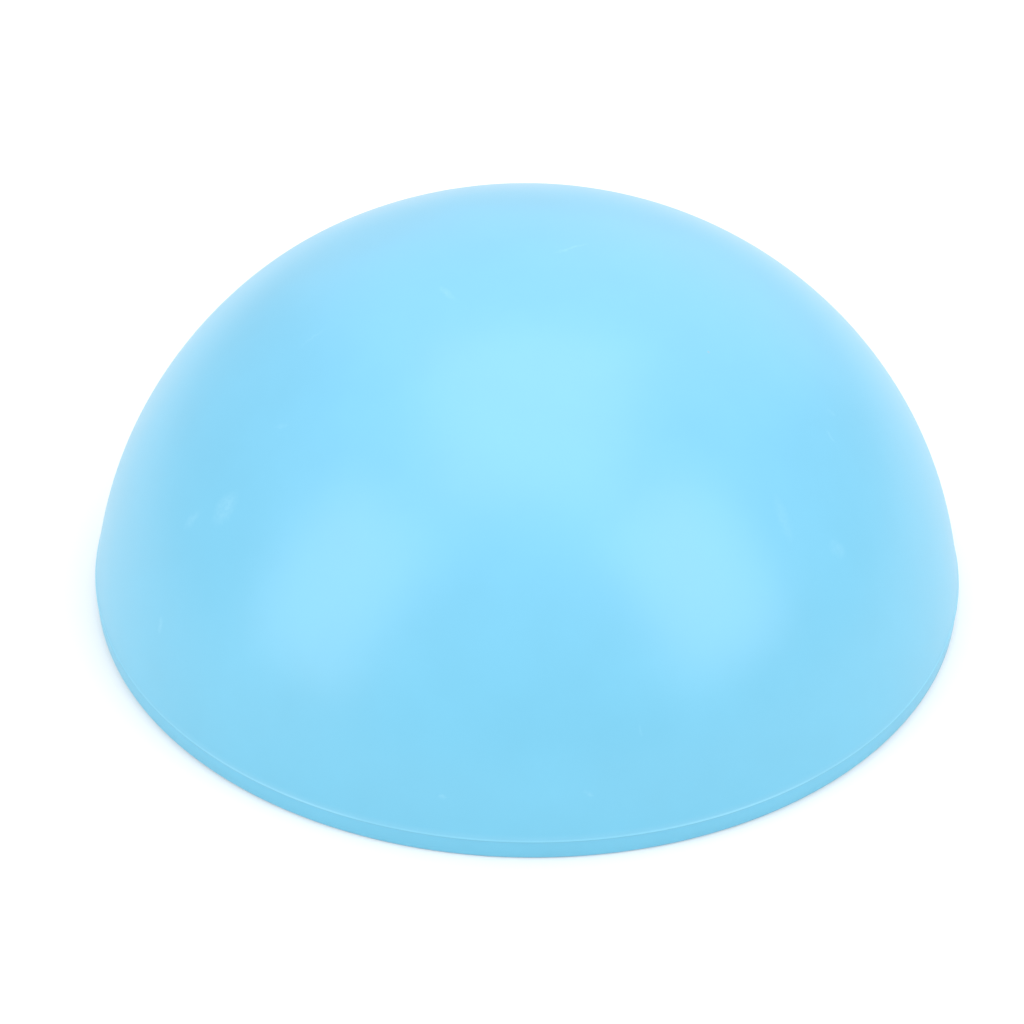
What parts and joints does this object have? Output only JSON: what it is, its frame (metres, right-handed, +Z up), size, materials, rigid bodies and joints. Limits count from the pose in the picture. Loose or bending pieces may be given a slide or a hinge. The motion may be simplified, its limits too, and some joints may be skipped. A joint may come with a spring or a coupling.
{
  "type": "balance dome",
  "caption": "Smooth air-filled half-ball balance trainer with a low rim band, a flat underside with concentric grip grooves, and a push-in air valve plug sunk in a central pocket.",
  "frame": {"origin": "middle of the underside, on the surface that the dome stands on", "axes": "+Z up, from the flat underside to the crown of the dome; the dome is round about Z, so X and Y are any two level directions"},
  "size_m": [0.16, 0.16, 0.07],
  "materials": {
    "skin": "frosted satin PVC",
    "base": "satin moulded PVC",
    "seat": "soft natural white",
    "plug": "natural white polyethylene"
  },
  "bodies": {
    "dome": {"dome_skin": "skin", "base_disc": "base", "valve_seat": "seat"},
    "plug": {"valve_plug": "plug"}
  },
  "joints": [
    {"name": "plug_pull", "type": "slide", "parent": "dome", "child": "plug", "axis": [0, 0, -1], "range_m": [0, 0.02]}
  ]
}
